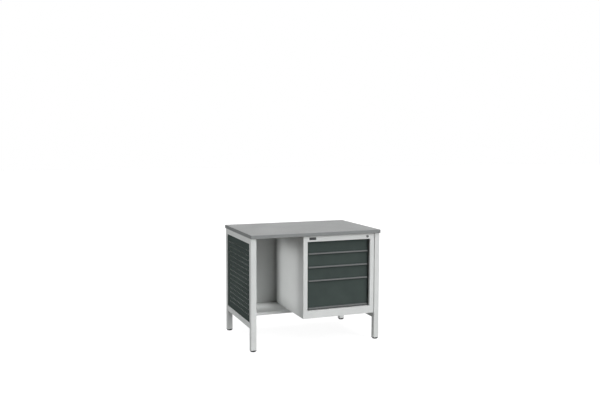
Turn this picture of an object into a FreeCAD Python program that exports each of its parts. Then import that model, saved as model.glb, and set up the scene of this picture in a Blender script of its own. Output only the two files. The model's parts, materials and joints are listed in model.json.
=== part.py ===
"""Steel workbench with a perforated side panel, a low shelf and a hung cabinet of four drawers.

Frame: millimetres, +X to the right, +Y to the back, +Z up. The origin is the centre of the
worktop's outline, on the floor. The bench faces -Y.
"""
import FreeCAD, Part
import math
import os

# ---------------------------------------------------------------- driving dimensions

# Worktop
worktop_width = 1000.0
worktop_depth = 680.0
worktop_height = 825.0
core_thickness = 24.0
laminate_thickness = 1.0
edging_thickness = 2.0
edging_round = 1.5

# Side frames of square tube
tube_size = 40.0
tube_wall = 2.0
tube_corner = 3.0
frame_side_inset = 1.0
frame_front_inset = 12.0
frame_rear_inset = 18.0
lower_rail_height = 161.0

# Levelling feet
pad_radius = 19.0
pad_height = 6.7
pad_round = 1.5
stem_radius = 5.0
stem_engagement = 28.0
foot_travel = 15.0
insert_flange = 4.0
insert_depth = 25.0

# Perforated side panels
side_panel_recess = 3.0
side_panel_sheet = 1.5
side_panel_fold = 18.0
perforation_size = 10.0
perforation_pitch = 35.0
perforation_least_margin = 35.0

# Back panel and low shelf
frame_sheet = 1.5
back_panel_set_forward = 4.0
back_panel_fold = 32.0
shelf_fold = 20.0
shelf_front_setback = 306.0

# Drawer cabinet
cabinet_sheet = 1.2
cabinet_width = 563.0
cabinet_leg_gap = 3.0
cabinet_front_inset = 15.5
cabinet_back_gap = 25.0
cabinet_flange = 25.0
flange_screw_inset = 15.0
stile_width = 32.5
top_rail_height = 42.0
sill_height = 54.5
opening_return = 20.0
sill_return = 50.0
cabinet_upstand = 15.0
upright_width = 30.0
upright_rear_inset = 20.0

# Drawers
drawer_recess = 31.0
small_drawer_pitch = 99.0
small_drawer_count = 3
drawer_front_gap = 1.0
lowest_drawer_gap = 6.0
drawer_side_gap = 2.0
drawer_front_depth = 16.0
drawer_front_sheet = 1.2
drawer_front_lip = 22.0
grip_end_inset = 10.0
grip_height = 10.0
grip_projection = 13.0
grip_sheet = 2.0
grip_above_edge = 2.0
grip_round_share = 0.45
tray_sheet = 1.0
tray_hem = 2.4
tray_hem_height = 8.0
tray_above_edge = 8.0
tray_below_top = 14.0
tray_rear_gap = 31.0

# Telescopic slides
slide_thickness = 12.7
slide_height = 45.0
slide_wall = 1.2
slide_setback = 16.5
slide_rear_setback = 33.0
slide_above_tray_bottom = 2.0

# Lock with its bar
lock_from_side = 56.0
lock_from_top = 22.0
lock_barrel_radius = 9.0
lock_bezel_radius = 10.5
lock_bezel_thickness = 2.0
lock_length = 24.5
lock_nut_flats = 24.0
lock_nut_thickness = 4.5
plug_radius = 6.0
plug_tail = 2.0
keyway_width = 1.4
keyway_height = 7.0
keyway_depth = 4.0
cam_radius = 11.0
cam_thickness = 4.0
cam_pin_radius = 2.5
bar_lift = 10.0
bar_sheet = 2.0
bar_web_width = 16.0
bar_leg_depth = 20.0
bar_from_opening = 4.5
bar_foot = 12.0
bar_head_height = 26.0
tab_reach = 14.0
tab_height = 7.0
tab_above_slide = 1.5
lug_height = 8.0
lug_reach = 11.0
lug_clearance = 3.0
catch_play = 1.5
guide_height = 20.0
guide_depth = 14.0
guide_overlap = 8.0

# Blank plate on the cabinet's top rail
plate_width = 53.0
plate_height = 19.0
plate_thickness = 1.0
plate_corner = 3.0
plate_from_side = 45.0
plate_from_top = 10.0

# Screws
screw_radius = 3.0
screw_head_radius = 6.0
screw_head_height = 3.3
screw_socket_radius = 2.1
screw_socket_depth = 2.0
screw_length = 14.0
worktop_bite = 15.0
screw_end_inset = 60.0

# Clearances and radii
seat_gap = 0.3
running_gap = 0.4
bore_clearance = 0.05
screw_clearance = 0.2
slot_clearance = 0.5
bend_radius = 1.0
edge_round = 0.8
fold_round_share = 0.8

# ---------------------------------------------------------------- places that follow from them

worktop_underside = worktop_height - laminate_thickness - core_thickness
worktop_front = -worktop_depth / 2
worktop_right = worktop_width / 2

frame_outer_x = worktop_right - frame_side_inset
frame_inner_x = frame_outer_x - tube_size
leg_centre_x = frame_outer_x - tube_size / 2
frame_front = worktop_front + frame_front_inset
frame_rear = worktop_depth / 2 - frame_rear_inset
rail_front = frame_front + tube_size
rail_rear = frame_rear - tube_size
rail_length = rail_rear - rail_front
leg_bottom = pad_height + seat_gap + insert_flange
stem_length = stem_engagement + foot_travel
top_rail_bottom = worktop_underside - tube_size
lower_rail_top = lower_rail_height + tube_size

back_panel_front = rail_rear - back_panel_set_forward
shelf_front = worktop_front + shelf_front_setback
shelf_top = lower_rail_top
shelf_bottom = shelf_top - shelf_fold
sheet_reach = frame_inner_x - seat_gap

cabinet_right = frame_inner_x - cabinet_leg_gap
cabinet_left = cabinet_right - cabinet_width
cabinet_front = worktop_front + cabinet_front_inset
cabinet_rear = back_panel_front - cabinet_back_gap
cabinet_bottom = shelf_top
cabinet_top = worktop_underside
opening_left = cabinet_left + stile_width
opening_right = cabinet_right - stile_width
opening_bottom = cabinet_bottom + sill_height
opening_top = cabinet_top - top_rail_height
inner_left = cabinet_left + cabinet_sheet
inner_right = cabinet_right - cabinet_sheet
base_bottom = cabinet_bottom + cabinet_sheet
base_top = base_bottom + cabinet_sheet
upstand_top = base_bottom + cabinet_upstand

drawer_face = cabinet_front + drawer_recess
tray_front = drawer_face + drawer_front_depth
tray_rear = cabinet_rear - tray_rear_gap
slide_front = tray_front + slide_setback
slide_rear = tray_rear - slide_rear_setback
slide_length = slide_rear - slide_front
drawer_travel = slide_length

lock_x = cabinet_right - lock_from_side
lock_z = cabinet_top - lock_from_top
lock_rear = cabinet_front + lock_length
cam_front = lock_rear + plug_tail
cam_rear = cam_front + cam_thickness
pin_orbit = bar_lift / math.sqrt(2)
pin_rest_x = lock_x + pin_orbit * math.cos(math.radians(45))
pin_rest_z = lock_z - bar_lift / 2
bar_front = cam_rear + cam_thickness
bar_left = opening_right + bar_from_opening
bar_right = bar_left + bar_web_width
tab_rear = bar_front + bar_leg_depth

drawer_names = [f"drawer_{number}" for number in range(1, small_drawer_count + 2)]

X_AXIS = FreeCAD.Vector(1, 0, 0)
Y_AXIS = FreeCAD.Vector(0, 1, 0)
Z_AXIS = FreeCAD.Vector(0, 0, 1)


# ---------------------------------------------------------------- shape helpers

def block(x0, x1, y0, y1, z0, z1):
    """A box between two corners."""
    return Part.makeBox(x1 - x0, y1 - y0, z1 - z0, FreeCAD.Vector(x0, y0, z0))


def rod(radius, start, direction, length):
    """A round bar from a start point along a direction."""
    return Part.makeCylinder(radius, length, FreeCAD.Vector(*start), FreeCAD.Vector(*direction))


def edges_along(shape, axis):
    """The straight edges of a shape that run along an axis."""
    found = []
    for edge in shape.Edges:
        if isinstance(edge.Curve, Part.Line) and abs(abs(edge.Curve.Direction.dot(axis)) - 1) < 1e-6:
            found.append(edge)
    return found


def rounded_along(shape, axis, radius):
    """A shape with all its edges along one axis rounded."""
    return shape.makeFillet(radius, edges_along(shape, axis))


def all_rounded(shape, radius):
    """A plain box with every edge rounded."""
    return shape.makeFillet(radius, shape.Edges)


def square_tube(x0, y0, z0, length, axis):
    """A length of square tube with round corners; x0, y0, z0 is its lowest corner."""
    size = {"y": (tube_size, length, tube_size), "z": (tube_size, tube_size, length)}[axis]
    direction = {"y": Y_AXIS, "z": Z_AXIS}[axis]
    outside = Part.makeBox(*size, FreeCAD.Vector(x0, y0, z0))
    outside = rounded_along(outside, direction, tube_corner)
    inset = {"y": (tube_wall, 0, tube_wall), "z": (tube_wall, tube_wall, 0)}[axis]
    hollow_size = [side - 2 * margin for side, margin in zip(size, inset)]
    corner = FreeCAD.Vector(x0, y0, z0) + FreeCAD.Vector(*inset)
    hollow = Part.makeBox(*hollow_size, corner)
    hollow = rounded_along(hollow, direction, tube_corner - tube_wall)
    return outside.cut(hollow)


def pan(low, high, wall, open_side):
    """A folded tray: five walls of sheet with rounded folds, open on one side such as '+z'."""
    sign, letter = open_side
    axis = "xyz".index(letter)
    inner_low = [value + wall for value in low]
    inner_high = [value - wall for value in high]
    if sign == "+":
        inner_high[axis] = high[axis] + bend_radius + wall
    else:
        inner_low[axis] = low[axis] - bend_radius - wall
    outside = block(low[0], high[0], low[1], high[1], low[2], high[2])
    open_level = high[axis] if sign == "+" else low[axis]
    outside_edges = []
    for edge in outside.Edges:
        levels = [vertex.Point[axis] for vertex in edge.Vertexes]
        if any(abs(level - open_level) > 1e-6 for level in levels):
            outside_edges.append(edge)
    outside = outside.makeFillet(bend_radius + wall, outside_edges)
    inside = block(inner_low[0], inner_high[0], inner_low[1], inner_high[1], inner_low[2], inner_high[2])
    inside = inside.makeFillet(bend_radius, inside.Edges)
    return outside.cut(inside)


def channel(web_x, web_side, depth, y0, y1, z0, z1, wall):
    """A C-section that runs along Y. Its web's outer face is at web_x, and it opens towards web_side."""
    far_x = web_x + web_side * depth
    low_x, high_x = sorted((web_x, far_x))
    outside = block(low_x, high_x, y0, y1, z0, z1)
    past_x = web_x + web_side * (depth + wall)
    hollow_low, hollow_high = sorted((web_x + web_side * wall, past_x))
    hollow = block(hollow_low, hollow_high, y0, y1, z0 + wall, z1 - wall)
    return outside.cut(hollow)


def screw(at, direction, length):
    """A socket-head screw whose head bears at a point and whose shank goes along a direction."""
    point = FreeCAD.Vector(*at)
    way = FreeCAD.Vector(*direction)
    head_top = point - way * screw_head_height
    head = Part.makeCylinder(screw_head_radius, screw_head_height, head_top, way)
    crown = [edge for edge in head.Edges if (edge.CenterOfMass - head_top).Length < 1e-6]
    head = head.makeFillet(edge_round, crown)
    socket = Part.makeCylinder(screw_socket_radius, screw_socket_depth, head_top, way)
    shank = Part.makeCylinder(screw_radius, length, point, way)
    return head.cut(socket).fuse(shank).removeSplitter()


def screw_hole(at, direction, length):
    """The clearance hole for a screw, from its head to a little past its tip."""
    point = FreeCAD.Vector(*at)
    way = FreeCAD.Vector(*direction)
    start = point - way * screw_head_height
    reach = length + screw_head_height + screw_clearance
    return Part.makeCylinder(screw_radius + screw_clearance, reach, start, way)


def drilled(shape, screws):
    """A shape with the holes of all the given screws."""
    return shape.cut(Part.makeCompound([screw_hole(*place) for place in screws]))


def spread(low, high, count):
    """Evenly spaced values from low to high."""
    return [low + (high - low) * step / (count - 1) for step in range(count)]


# ---------------------------------------------------------------- screw places

def rail_screw_places():
    """Screws up through the top rails into the worktop, on the rails' inner half."""
    places = []
    x_off = frame_inner_x + tube_size / 4
    for side in (-1, 1):
        for y in (rail_front + 2 * screw_end_inset, rail_rear - 2 * screw_end_inset):
            places.append(((side * x_off, y, top_rail_bottom), (0, 0, 1), tube_size + worktop_bite))
    return places


def cabinet_top_screw_places():
    """Screws up through the cabinet's top flanges into the worktop."""
    places = []
    level = cabinet_top - cabinet_sheet
    for x in (cabinet_left + flange_screw_inset, cabinet_right - flange_screw_inset):
        for y in (slide_front + upright_width + screw_end_inset, cabinet_rear - screw_end_inset):
            places.append(((x, y, level), (0, 0, 1), cabinet_sheet + worktop_bite))
    return places


def back_top_screw_places():
    """Screws up through the back panel's top fold into the worktop."""
    level = worktop_underside - frame_sheet
    y = back_panel_front + back_panel_fold / 2
    reach = sheet_reach - 2 * screw_end_inset
    return [((x, y, level), (0, 0, 1), frame_sheet + worktop_bite) for x in spread(-reach, reach, 3)]


def side_panel_screw_places(side):
    """Screws through a side panel's upright folds into the legs."""
    places = []
    x = side * (frame_outer_x - side_panel_recess - side_panel_fold / 2)
    inset = seat_gap + side_panel_sheet
    for z in spread(lower_rail_top + screw_end_inset, top_rail_bottom - screw_end_inset, 3):
        places.append(((x, rail_front + inset, z), (0, -1, 0), screw_length))
        places.append(((x, rail_rear - inset, z), (0, 1, 0), screw_length))
    return places


def back_panel_screw_places(side):
    """Screws through the back panel's upright folds into the rear legs."""
    x = side * (sheet_reach - frame_sheet)
    y = (rail_rear + back_panel_front + back_panel_fold) / 2
    levels = spread(lower_rail_top + screw_end_inset, top_rail_bottom - screw_end_inset, 3)
    return [((x, y, z), (side, 0, 0), screw_length) for z in levels]


def shelf_screw_places(side):
    """Screws through the shelf's end folds into the lower rails."""
    x = side * (sheet_reach - frame_sheet)
    z = shelf_top - shelf_fold / 2
    low = shelf_front + screw_end_inset
    high = back_panel_front - screw_end_inset
    return [((x, y, z), (side, 0, 0), screw_length) for y in spread(low, high, 2)]


def cabinet_foot_screw_places():
    """Screws down through the cabinet's base into the shelf."""
    places = []
    for x in (cabinet_left + 2 * screw_end_inset, cabinet_right - 2 * screw_end_inset):
        for y in (shelf_front + screw_end_inset, cabinet_rear - screw_end_inset):
            places.append(((x, y, base_top), (0, 0, -1), screw_length))
    return places


# ---------------------------------------------------------------- worktop

def worktop_board():
    """The wood core inside the edging."""
    x = worktop_right - edging_thickness
    y = worktop_depth / 2 - edging_thickness
    core = block(-x, x, -y, y, worktop_underside, worktop_underside + core_thickness)
    return drilled(core, rail_screw_places() + cabinet_top_screw_places() + back_top_screw_places())


def worktop_laminate():
    """The grey laminate on the core."""
    x = worktop_right - edging_thickness
    y = worktop_depth / 2 - edging_thickness
    return block(-x, x, -y, y, worktop_height - laminate_thickness, worktop_height)


def worktop_edging():
    """Four strips round the core, flush with the laminate, their outer long edges rounded."""
    x = worktop_right
    y = worktop_depth / 2
    inner_x = x - edging_thickness
    inner_y = y - edging_thickness
    z0 = worktop_underside
    z1 = worktop_height
    strips = []
    for side in (-1, 1):
        low, high = sorted((side * inner_y, side * y))
        strip = block(-x, x, low, high, z0, z1)
        outer = [edge for edge in edges_along(strip, X_AXIS) if abs(edge.CenterOfMass.y - side * y) < 1e-6]
        strips.append(strip.makeFillet(edging_round, outer))
        low, high = sorted((side * inner_x, side * x))
        strip = block(low, high, -inner_y, inner_y, z0, z1)
        outer = [edge for edge in edges_along(strip, Y_AXIS) if abs(edge.CenterOfMass.x - side * x) < 1e-6]
        strips.append(strip.makeFillet(edging_round, outer))
    return Part.makeCompound(strips)


# ---------------------------------------------------------------- side frames

def leg(side, rear):
    """One leg, from its end insert up to the worktop."""
    x0 = leg_centre_x * side - tube_size / 2
    y0 = rail_rear if rear else frame_front
    tube = square_tube(x0, y0, leg_bottom, worktop_underside - leg_bottom, "z")
    screws = side_panel_screw_places(side)
    if rear:
        screws += back_panel_screw_places(side)
    return drilled(tube, screws)


def side_rail(side, bottom, screws):
    """One rail between the front and the rear leg."""
    x0 = leg_centre_x * side - tube_size / 2
    return drilled(square_tube(x0, rail_front, bottom, rail_length, "y"), screws)


def leg_places():
    """The centre of each leg, and its foot's name."""
    front_y = frame_front + tube_size / 2
    rear_y = frame_rear - tube_size / 2
    return {
        "front_left": (-leg_centre_x, front_y),
        "front_right": (leg_centre_x, front_y),
        "rear_left": (-leg_centre_x, rear_y),
        "rear_right": (leg_centre_x, rear_y),
    }


def leg_end_inserts():
    """A flanged plug in the end of each leg, with the hole for the foot's stem."""
    plugs = []
    half = tube_size / 2
    body = half - tube_wall - seat_gap / 2
    for x, y in leg_places().values():
        flange = block(x - half, x + half, y - half, y + half, leg_bottom - insert_flange, leg_bottom)
        flange = rounded_along(flange, Z_AXIS, tube_corner)
        plug = block(x - body, x + body, y - body, y + body, leg_bottom, leg_bottom + insert_depth)
        plug = rounded_along(plug, Z_AXIS, tube_corner - tube_wall)
        bottom = leg_bottom - insert_flange
        bore = rod(stem_radius + bore_clearance, (x, y, bottom), (0, 0, 1), insert_flange + insert_depth)
        plugs.append(flange.fuse(plug).cut(bore).removeSplitter())
    return Part.makeCompound(plugs)


def levelling_foot(x, y):
    """A round pad on its stem, screwed fully in."""
    pad = rod(pad_radius, (x, y, 0), (0, 0, 1), pad_height)
    rims = [edge for edge in pad.Edges if isinstance(edge.Curve, Part.Circle) and edge.CenterOfMass.z > 0]
    pad = pad.makeFillet(pad_round, rims)
    stem = rod(stem_radius, (x, y, 0), (0, 0, 1), pad_height + stem_length)
    return pad.fuse(stem).removeSplitter()


def perforation_places(low, high):
    """The hole centres along one side of a panel, centred between its ends."""
    room = high - low - 2 * perforation_least_margin
    steps = math.floor(room / perforation_pitch + 1e-9)
    first = (low + high - steps * perforation_pitch) / 2
    return [first + step * perforation_pitch for step in range(steps + 1)]


def perforated_panel(side):
    """A folded panel inside a side frame, with square holes for hooks and bins."""
    outer_x = side * (frame_outer_x - side_panel_recess)
    fold_x = outer_x - side * side_panel_fold
    low_x, high_x = sorted((outer_x, fold_x))
    low = (low_x, rail_front + seat_gap, lower_rail_top + seat_gap)
    high = (high_x, rail_rear - seat_gap, top_rail_bottom - seat_gap)
    panel = pan(low, high, side_panel_sheet, "+x" if side < 0 else "-x")
    half = perforation_size / 2
    hole_low, hole_high = sorted((outer_x + side, outer_x - side * (side_panel_sheet + 1)))
    holes = []
    for y in perforation_places(low[1], high[1]):
        for z in perforation_places(low[2], high[2]):
            holes.append(block(hole_low, hole_high, y - half, y + half, z - half, z + half))
    return drilled(panel.cut(Part.makeCompound(holes)), side_panel_screw_places(side))


# ---------------------------------------------------------------- back panel and shelf

def back_panel():
    """The panel between the rear legs, its folds turned to the back."""
    low = (-sheet_reach, back_panel_front, shelf_bottom)
    high = (sheet_reach, back_panel_front + back_panel_fold, worktop_underside)
    panel = pan(low, high, frame_sheet, "+y")
    screws = back_top_screw_places() + back_panel_screw_places(-1) + back_panel_screw_places(1)
    return drilled(panel, screws)


def low_shelf():
    """The shelf between the lower rails, its folds turned down."""
    low = (-sheet_reach, shelf_front, shelf_bottom)
    high = (sheet_reach, back_panel_front - seat_gap, shelf_top)
    shelf = pan(low, high, frame_sheet, "-z")
    screws = shelf_screw_places(-1) + shelf_screw_places(1) + cabinet_foot_screw_places()
    return drilled(shelf, screws)


# ---------------------------------------------------------------- cabinet carcass

def cabinet_front_frame():
    """The face of the cabinet: one sheet folded in all round its opening, deepest at the sill."""
    sheet = cabinet_sheet
    face = block(cabinet_left, cabinet_right, cabinet_front, cabinet_front + sheet,
                 cabinet_bottom, cabinet_top)
    collar = block(opening_left - sheet, opening_right + sheet, cabinet_front,
                   cabinet_front + opening_return, opening_bottom - sheet, opening_top + sheet)
    sill = block(opening_left - sheet, opening_right + sheet, cabinet_front,
                 cabinet_front + sill_return, opening_bottom - sheet, opening_bottom)
    opening = block(opening_left, opening_right, cabinet_front - sheet,
                    cabinet_front + opening_return + sheet, opening_bottom, opening_top)
    frame = face.fuse(collar).cut(opening).fuse(sill).removeSplitter()
    front_edges = []
    for edge in frame.Edges:
        on_face = all(abs(vertex.Point.y - cabinet_front) < 1e-6 for vertex in edge.Vertexes)
        if on_face:
            front_edges.append(edge)
    frame = frame.makeFillet(cabinet_sheet * fold_round_share, front_edges)
    hole_start = (lock_x, cabinet_front - sheet, lock_z)
    return frame.cut(rod(lock_barrel_radius + bore_clearance, hole_start, (0, 1, 0), 3 * sheet))


def cabinet_side(side):
    """One side wall with a flange at its top and at its bottom, both turned in."""
    outer_x = cabinet_right if side > 0 else cabinet_left
    y0 = cabinet_front + cabinet_sheet
    y1 = cabinet_rear
    wall = channel(outer_x, -side, cabinet_flange, y0, y1, cabinet_bottom, cabinet_top, cabinet_sheet)
    folds = [edge for edge in edges_along(wall, Y_AXIS) if abs(edge.CenterOfMass.x - outer_x) < 1e-6]
    wall = wall.makeFillet(cabinet_sheet * fold_round_share, folds)
    return drilled(wall, cabinet_top_screw_places())


def cabinet_base():
    """The floor of the cabinet, on the side walls' lower flanges, with its edges turned up."""
    low = (inner_left + seat_gap, cabinet_front + cabinet_sheet + seat_gap, base_bottom)
    high = (inner_right - seat_gap, cabinet_rear - cabinet_sheet - seat_gap, upstand_top)
    return drilled(pan(low, high, cabinet_sheet, "+z"), cabinet_foot_screw_places())


def cabinet_back():
    """The rear wall between the side walls, its edges turned forward over the base."""
    low = (inner_left + seat_gap, cabinet_rear - cabinet_upstand, upstand_top + seat_gap)
    high = (inner_right - seat_gap, cabinet_rear, cabinet_top - cabinet_sheet - seat_gap)
    return pan(low, high, cabinet_sheet, "-y")


def slide_uprights(side):
    """Two posts of C-section on one side wall, with the slides' outer rails on their faces."""
    face_x = opening_right if side > 0 else opening_left
    wall_x = inner_right if side > 0 else inner_left
    low_x, high_x = sorted((face_x, wall_x))
    posts = []
    for y0 in (slide_front, slide_rear - upright_rear_inset - upright_width):
        y1 = y0 + upright_width
        z0 = upstand_top + seat_gap
        z1 = cabinet_top - cabinet_sheet
        outside = block(low_x, high_x, y0, y1, z0, z1)
        hollow_low, hollow_high = sorted((face_x + side * cabinet_sheet, wall_x + side))
        hollow = block(hollow_low, hollow_high, y0 + cabinet_sheet, y1 - cabinet_sheet, z0, z1)
        posts.append(outside.cut(hollow))
    return Part.makeCompound(posts)


# ---------------------------------------------------------------- drawers

def drawer_levels():
    """The lower and upper edge of each drawer's front, from the top drawer down."""
    levels = []
    top = opening_top
    for _ in range(small_drawer_count):
        levels.append((top - small_drawer_pitch + drawer_front_gap, top - drawer_front_gap))
        top -= small_drawer_pitch
    levels.append((opening_bottom + lowest_drawer_gap, top - drawer_front_gap))
    return levels


def slide_level(front_bottom):
    """The lower edge of a drawer's slides."""
    return front_bottom + tray_above_edge + slide_above_tray_bottom


def tab_level(front_bottom):
    """The lower edge of a drawer's locking tab with the lock open."""
    return slide_level(front_bottom) + slide_height + tab_above_slide


def drawer_front(bottom, top):
    """A hollow folded front; the lips round the window in its back hold it to the tray."""
    left = opening_left + drawer_side_gap
    right = opening_right - drawer_side_gap
    sheet = drawer_front_sheet
    lip = drawer_front_lip
    outside = all_rounded(block(left, right, drawer_face, tray_front, bottom, top), bend_radius + sheet)
    hollow = block(left + sheet, right - sheet, drawer_face + sheet, tray_front - sheet,
                   bottom + sheet, top - sheet)
    window = block(left + lip, right - lip, tray_front - 2 * sheet, tray_front + sheet,
                   bottom + lip, top - lip)
    return outside.cut(all_rounded(hollow, bend_radius)).cut(window)


def grip_strip(bottom):
    """A strip along the front's lower edge: a flat back, a nose and a lip to pull on from below."""
    left = opening_left + drawer_side_gap + grip_end_inset
    right = opening_right - drawer_side_gap - grip_end_inset
    z0 = bottom + grip_above_edge
    z1 = z0 + grip_height
    nose = drawer_face - grip_projection
    strip = block(left, right, nose, drawer_face, z0, z1)
    hollow = block(left, right, nose + grip_sheet, drawer_face - grip_sheet, z0, z1 - grip_sheet)
    strip = strip.cut(hollow)
    front_edges = [edge for edge in edges_along(strip, X_AXIS) if abs(edge.CenterOfMass.y - nose) < 1e-6]
    return strip.makeFillet(grip_sheet * grip_round_share, front_edges)


def tray(bottom, top):
    """The drawer's tray with a hemmed rim and the catch lug that the locking tab stops."""
    low = (opening_left + slide_thickness, tray_front, bottom + tray_above_edge)
    high = (opening_right - slide_thickness, tray_rear, top - tray_below_top)
    shell = pan(low, high, tray_sheet, "+z")
    hem_bottom = high[2] - tray_hem_height
    ring = block(low[0], high[0], low[1], high[1], hem_bottom, high[2])
    ring = rounded_along(ring, Z_AXIS, bend_radius + tray_sheet)
    hole = block(low[0] + tray_hem, high[0] - tray_hem, low[1] + tray_hem, high[1] - tray_hem,
                 hem_bottom, high[2])
    lug_bottom = tab_level(bottom) + tab_height + lug_clearance
    lug_y = tab_rear + catch_play
    lug = block(high[0] - tray_sheet, high[0] + lug_reach, lug_y, lug_y + bar_sheet,
                lug_bottom, lug_bottom + lug_height)
    return shell.fuse(ring.cut(hole)).fuse(lug).removeSplitter()


def rail_pair(bottom, place):
    """The left and right rail of a drawer's slides. place is 0 for the outer, 1 the middle, 2 the inner."""
    step = slide_wall + running_gap
    z0 = slide_level(bottom) + place * step
    z1 = slide_level(bottom) + slide_height - place * step
    depth = slide_thickness - 2 * step
    rails = []
    for face_x, inward in ((opening_left, 1), (opening_right, -1)):
        if place < 2:
            web_x = face_x + inward * place * step
            opens = inward
        else:
            web_x = face_x + inward * slide_thickness
            opens = -inward
        rails.append(channel(web_x, opens, depth, slide_front, slide_rear, z0, z1, slide_wall))
    return Part.makeCompound(rails)


# ---------------------------------------------------------------- lock

def lock_housing():
    """The barrel through the cabinet's top rail, with its bezel on the face."""
    face = cabinet_front - lock_bezel_thickness
    bezel = rod(lock_bezel_radius, (lock_x, face, lock_z), (0, 1, 0), lock_bezel_thickness)
    rim = [edge for edge in bezel.Edges if abs(edge.CenterOfMass.y - face) < 1e-6]
    bezel = bezel.makeFillet(edge_round, rim)
    barrel = rod(lock_barrel_radius, (lock_x, cabinet_front, lock_z), (0, 1, 0), lock_length)
    bore_length = lock_length + lock_bezel_thickness
    bore = rod(plug_radius + bore_clearance, (lock_x, face, lock_z), (0, 1, 0), bore_length)
    return bezel.fuse(barrel).cut(bore).removeSplitter()


def lock_nut():
    """The hexagon nut that holds the barrel from behind the face."""
    start = cabinet_front + cabinet_sheet
    corner = lock_nut_flats / math.sqrt(3)
    points = []
    for step in range(7):
        angle = math.radians(60 * step)
        x = lock_x + corner * math.cos(angle)
        z = lock_z + corner * math.sin(angle)
        points.append(FreeCAD.Vector(x, start, z))
    nut = Part.Face(Part.makePolygon(points)).extrude(Y_AXIS * lock_nut_thickness)
    bore = rod(lock_barrel_radius + bore_clearance, (lock_x, start, lock_z), (0, 1, 0), lock_nut_thickness)
    return nut.cut(bore)


def lock_plug():
    """The turning plug with its keyway, flush with the bezel."""
    start = cabinet_front - lock_bezel_thickness
    plug = rod(plug_radius, (lock_x, start, lock_z), (0, 1, 0), cam_front - start)
    keyway = block(lock_x - keyway_width / 2, lock_x + keyway_width / 2, start, start + keyway_depth,
                   lock_z - keyway_height / 2, lock_z + keyway_height / 2)
    return plug.cut(keyway)


def lock_cam():
    """A disc on the plug's tail with an off-centre pin that lifts the bar."""
    disc = rod(cam_radius, (lock_x, cam_front, lock_z), (0, 1, 0), cam_thickness)
    reach = bar_front + bar_sheet + cam_thickness / 2 - cam_front
    pin = rod(cam_pin_radius, (pin_rest_x, cam_front, pin_rest_z), (0, 1, 0), reach)
    return disc.fuse(pin).removeSplitter()


def locking_bar():
    """An angle bar behind the right stile: a slotted head for the cam's pin and a tab for each drawer."""
    bottoms = [bottom for bottom, top in drawer_levels()]
    bar_bottom = tab_level(bottoms[-1]) - bar_foot
    head_bottom = pin_rest_z - bar_head_height / 2
    bar_top = head_bottom + bar_head_height
    web = block(bar_left, bar_right, bar_front, bar_front + bar_sheet, bar_bottom, bar_top)
    leg_top = head_bottom
    side_leg = block(bar_left, bar_left + bar_sheet, bar_front, tab_rear, bar_bottom, leg_top)
    head_left = pin_rest_x - cam_pin_radius - 3 * bar_sheet
    head = block(head_left, bar_right, bar_front, bar_front + bar_sheet, head_bottom, bar_top)
    bar = web.fuse(side_leg).fuse(head)
    for bottom in bottoms:
        z0 = tab_level(bottom)
        bar = bar.fuse(block(bar_left - tab_reach, bar_left + bar_sheet, tab_rear - bar_sheet, tab_rear,
                             z0, z0 + tab_height))
    reach = cam_pin_radius + slot_clearance
    slot_left = pin_rest_x - reach
    slot_right = lock_x + pin_orbit + reach
    slot = block(slot_left, slot_right, bar_front - bar_sheet, bar_front + 2 * bar_sheet,
                 pin_rest_z - reach, pin_rest_z + reach)
    return bar.cut(slot).removeSplitter()


def locking_bar_guides():
    """Two grooved blocks on the right side wall that the bar's edge slides in."""
    bottoms = [bottom for bottom, top in drawer_levels()]
    low = tab_level(bottoms[-1]) + 2 * tab_height
    high = tab_level(bottoms[0])
    groove_y0 = bar_front - seat_gap
    groove_y1 = bar_front + bar_sheet + seat_gap
    y0 = bar_front + bar_sheet / 2 - guide_depth / 2
    guides = []
    for z0 in (low, high - guide_height):
        x0 = bar_right - guide_overlap
        body = block(x0, inner_right, y0, y0 + guide_depth, z0, z0 + guide_height)
        groove = block(x0, bar_right + seat_gap, groove_y0, groove_y1, z0, z0 + guide_height)
        guides.append(body.cut(groove))
    return Part.makeCompound(guides)


def blank_plate():
    """A bare plate with round corners on the cabinet's top rail."""
    x0 = cabinet_left + plate_from_side
    z1 = cabinet_top - plate_from_top
    plate = block(x0, x0 + plate_width, cabinet_front - plate_thickness, cabinet_front,
                  z1 - plate_height, z1)
    return rounded_along(plate, Y_AXIS, plate_corner)


# ---------------------------------------------------------------- screws

def worktop_screws():
    """The screws that hold the worktop from below."""
    places = rail_screw_places() + cabinet_top_screw_places() + back_top_screw_places()
    return Part.makeCompound([screw(*place) for place in places])


def sheet_screws():
    """The screws that hold the panels, the shelf and the cabinet."""
    places = cabinet_foot_screw_places()
    for side in (-1, 1):
        places += side_panel_screw_places(side) + back_panel_screw_places(side) + shelf_screw_places(side)
    return Part.makeCompound([screw(*place) for place in places])


# ---------------------------------------------------------------- the model

def frame_nodes():
    """The worktop, the frames and the sheets between them."""
    nodes = {
        "worktop_board": worktop_board(),
        "worktop_laminate": worktop_laminate(),
        "worktop_edging": worktop_edging(),
        "leg_end_inserts": leg_end_inserts(),
        "back_panel": back_panel(),
        "low_shelf": low_shelf(),
    }
    for name, side in (("left", -1), ("right", 1)):
        top_screws = [place for place in rail_screw_places() if place[0][0] * side > 0]
        nodes[f"front_{name}_leg"] = leg(side, rear=False)
        nodes[f"rear_{name}_leg"] = leg(side, rear=True)
        nodes[f"{name}_top_rail"] = side_rail(side, top_rail_bottom, top_screws)
        nodes[f"{name}_lower_rail"] = side_rail(side, lower_rail_height, shelf_screw_places(side))
        nodes[f"{name}_perforated_panel"] = perforated_panel(side)
    for name, (x, y) in leg_places().items():
        nodes[f"{name}_foot"] = levelling_foot(x, y)
    return nodes


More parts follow.
